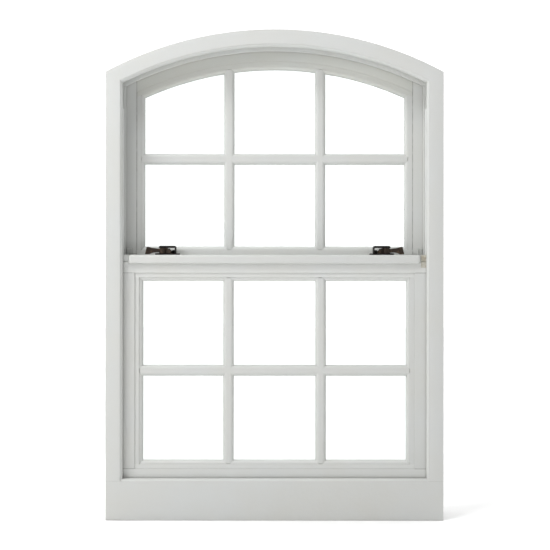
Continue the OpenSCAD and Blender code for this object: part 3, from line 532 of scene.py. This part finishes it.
# %% Make the small finishes
def small_finish(name, colour, second, scale, rough, bump, metal=0.0, stretch=(1, 1, 1),
                 cover=(0.5, 0.7)):
    """Two tones in noise patches, with a roughness range and a fine bump from the same noise.
    The second tone comes in as the noise goes through the cover range."""
    material, tree, shader = start(name, Metallic=metal)
    place = add(tree, "TexCoord").outputs["Object"]
    mapped = add(tree, "Mapping", _0=place, _3=stretch).outputs[0]
    grain = noise(tree, mapped, scale, 4.0, 0.6)
    part = remap(tree, grain, cover[0], cover[1], 0.0, 1.0)
    tree.links.new(blend(tree, part, colour + (1,), second + (1,)), shader.inputs["Base Color"])
    tree.links.new(remap(tree, grain, 0.3, 0.7, *rough), shader.inputs["Roughness"])
    round_over = add(tree, "Bevel", {"samples": 4}, _0=0.0007).outputs[0]
    raised = add(tree, "Bump", Strength=0.6, Distance=bump, Height=grain, Normal=round_over).outputs[0]
    tree.links.new(raised, shader.inputs["Normal"])
    return material


bronze = small_finish("dark_bronze", (0.012, 0.010, 0.009), (0.030, 0.021, 0.016),
                      130, (0.32, 0.55), 0.00008, metal=0.55)
rubbed_bronze = small_finish("rubbed_bronze", (0.050, 0.036, 0.028), (0.13, 0.085, 0.055),
                             90, (0.28, 0.5), 0.00008, metal=0.6)
zinc = small_finish("zinc_steel", (0.55, 0.56, 0.57), (0.42, 0.42, 0.41),
                    260, (0.25, 0.45), 0.00004, metal=1.0)
mill = small_finish("mill_aluminium", (0.66, 0.67, 0.68), (0.56, 0.57, 0.58),
                    30, (0.3, 0.45), 0.00003, metal=1.0, stretch=(40, 40, 1))
tube_white = small_finish("balance_tube_white", (0.70, 0.71, 0.70), (0.60, 0.60, 0.58),
                          25, (0.35, 0.5), 0.00005, stretch=(20, 20, 1))
rubber = small_finish("seal_rubber", (0.16, 0.16, 0.155), (0.24, 0.24, 0.23),
                      300, (0.6, 0.8), 0.0001)
pile = small_finish("pile_pad", (0.74, 0.75, 0.73), (0.58, 0.58, 0.55),
                    900, (0.8, 0.95), 0.0003, stretch=(1, 1, 0.2))
cream = small_finish("cream_plug", (0.55, 0.53, 0.46), (0.42, 0.38, 0.30),
                     70, (0.4, 0.6), 0.0001, cover=(0.52, 0.66))

# The left plug was painted over with the sash, so cream shows only at the right end. Its paint takes
# the lighter rail white, which is painted light.
tree = cream.node_tree
shader = next(node for node in tree.nodes if node.type == "BSDF_PRINCIPLED")
across = add(tree, "SeparateXYZ", _0=add(tree, "TexCoord").outputs["Object"]).outputs[0]
painted = remap(tree, across, -0.01, 0.01, 0.85, 0.0)
moulded = shader.inputs["Base Color"].links[0].from_socket
tree.links.new(blend(tree, painted, moulded, lit_rail_white + (1,)), shader.inputs["Base Color"])
print("small finishes made")

# %% [markdown]
# ## Giving every part its finish
# The record names a material slot for each node. Painted wood also needs its direction, and
# a member's name tells that: rails and sills lie level, heads are arched, the rest is upright.

# %% Assign the finishes
by_slot = {"clear_glass": glass, "dark_bronze": bronze, "steel": zinc, "spacer": mill,
           "balance_metal": tube_white, "seal": rubber, "cream_plastic": cream, "pad_pile": pile}
own_paint = {"sub_sill": plain_timber,
             "lower_stile_left": sash_paint, "lower_stile_right": sash_paint,
             "lower_bottom_rail": lit_rail_paint, "lower_check_rail": lit_rail_paint,
             "upper_head_rail": shaded_head_paint, "upper_check_rail": lit_meeting_paint,
             "upper_stile_left": upper_stile_paint, "upper_stile_right": upper_stile_paint}
level_words = ("rail", "sill", "bottom", "bars", "beads")
counts = {}
for entry in frame["record"]["subparts"]:
    name, slot = entry["node"], entry["material_slot"]
    if slot == "painted_wood":
        lies_level = any(word in name for word in level_words)
        run = "arched" if "head" in name else "level" if lies_level else "upright"
        chosen = own_paint.get(name, paints[run])
    else:
        chosen = rubbed_bronze if "lever" in name else by_slot[slot]
    node = frame["nodes"][name]
    node.data.materials.clear()
    node.data.materials.append(chosen)
    counts[chosen.name] = counts.get(chosen.name, 0) + 1


just_inside = 0.002
springing_slack = 0.006
springing = arch_z + math.sqrt(casing_radius ** 2 - opening_half ** 2) - springing_slack


def paint_by_run(piece, upright, side_half):
    """Gives one loop of trim three finishes, so that brush strokes run along each member:
    arched where z of a face's middle is above the springing of the arch, and below that
    upright where |x| > side_half - just_inside, else level."""
    faces = piece.data.polygons
    middle = np.empty(len(faces) * 3)
    faces.foreach_get("center", middle)
    x, _, z = middle.reshape(-1, 3).T
    below = np.where(np.abs(x) > side_half - just_inside, 1, 2)
    run = np.where(z > springing, 0, below).astype(np.int32)
    for chosen in (paints["arched"], upright, paints["level"]):
        piece.data.materials.append(chosen)
    faces.foreach_set("material_index", run)
    print(piece.name, "faces arched, upright, level:", np.bincount(run, minlength=3))


paint_by_run(casing, casing_paint, opening_half)
paint_by_run(stops, paints["upright"], clear_half)
for piece, chosen in [(bottom_board, paints["level"]), (nosing, paints["level"]),
                      (lower_laps, paints["upright"]), (upper_laps, paints["upright"])]:
    piece.data.materials.append(chosen)
print(counts)

# %% [markdown]
# ## Floor and light
# The window stands on a plain pale floor in a white room. The light that falls on it is
# bright from behind, as outdoors is to a room, and dim from in front, so the painted faces
# keep their shape. Whoever looks past the window or through its glass sees plain white on
# every side, so there is no dark wall behind it from any angle. The floor glows faintly, and
# more so far off where the lamps no longer reach, which keeps it as white as the room.
#
# Three soft square lamps model the trim. The high lamp does most: it comes from above and
# lights the tops of mouldings. The key lamp, lower and to the left, throws the left stile into
# shade and leaves the right one open. A very weak fill lamp opens the deepest shadow.

# %% Lay the floor
floor_mesh = bpy.data.meshes.new("floor")
floor_reach, floor_drop, rim_points = 14, 0.0005, 96
turn = np.linspace(0, 2 * np.pi, rim_points, endpoint=False)
rim = np.stack([floor_reach * np.cos(turn), floor_reach * np.sin(turn), 0 * turn - floor_drop], -1)
floor_mesh.from_pydata(rim.tolist(), [], [list(range(rim_points))])
floor = bpy.data.objects.new("floor", floor_mesh)
bpy.context.collection.objects.link(floor)
floor_paint, tree, shader = start("pale_floor", Base_Color=(0.98, 0.98, 0.98, 1), Roughness=0.9,
                                  Emission_Color=(1, 1, 1, 1))
place = add(tree, "TexCoord").outputs["Object"]
away = add(tree, "VectorMath", {"operation": "LENGTH"}, _0=place).outputs[1]
near, far, near_glow, far_glow = 2.0, 5.0, 0.04, 0.18  # metres from the window, and strengths
glow = remap(tree, away, near, far, near_glow, far_glow)
tree.links.new(glow, shader.inputs["Emission Strength"])
floor_mesh.materials.append(floor_paint)
print("floor", floor.dimensions[:])

# %% Light the room
world = bpy.data.worlds.new("white_room")
bpy.context.scene.world = world
world.use_nodes = True
tree = world.node_tree
tree.nodes.clear()
way = add(tree, "TexCoord").outputs["Generated"]
lean = add(tree, "VectorMath", {"operation": "DOT_PRODUCT"}, _0=way, _1=(0.0, 1.0, 0.6)).outputs[1]
dim, bright = 0.06, 1.25
graded = add(tree, "MapRange", {"interpolation_type": "SMOOTHSTEP"},
             _0=lean, _1=-0.5, _2=0.6, _3=dim, _4=bright).outputs[0]
seen_by = add(tree, "LightPath").outputs
looked_at = maths(tree, "MAXIMUM", seen_by["Is Camera Ray"], seen_by["Is Transmission Ray"])
level = add(tree, "Mix", _0=looked_at, _2=graded, _3=bright).outputs[0]
sky = add(tree, "Background", Color=(1, 1, 1, 1), Strength=level)
output = tree.nodes.new("ShaderNodeOutputWorld")
tree.links.new(sky.outputs[0], output.inputs[0])


def lamp(name, place, aim, size, watts):
    """A square soft lamp at a place, turned to face a point."""
    data = bpy.data.lights.new(name, "AREA")
    data.shape, data.size, data.energy = "SQUARE", size, watts
    light = bpy.data.objects.new(name, data)
    light.location = place
    direction = np.array(aim) - np.array(place)
    light.rotation_euler = (math.atan2(math.hypot(direction[0], direction[1]), -direction[2]), 0,
                            math.atan2(direction[1], direction[0]) - math.pi / 2)
    bpy.context.collection.objects.link(light)
    print(name, "at", place, watts, "W")


lamp("key_lamp", (-2.2, -1.7, 1.9), (0, 0, 0.8), 0.9, 26)
lamp("high_lamp", (-1.3, -2.0, 4.1), (0, 0, 0.7), 1.2, 66)
lamp("fill_lamp", (0.5, -1.9, 1.6), (0.1, 0, 1.1), 0.5, 2)
bpy.context.scene.view_settings.view_transform = "Standard"
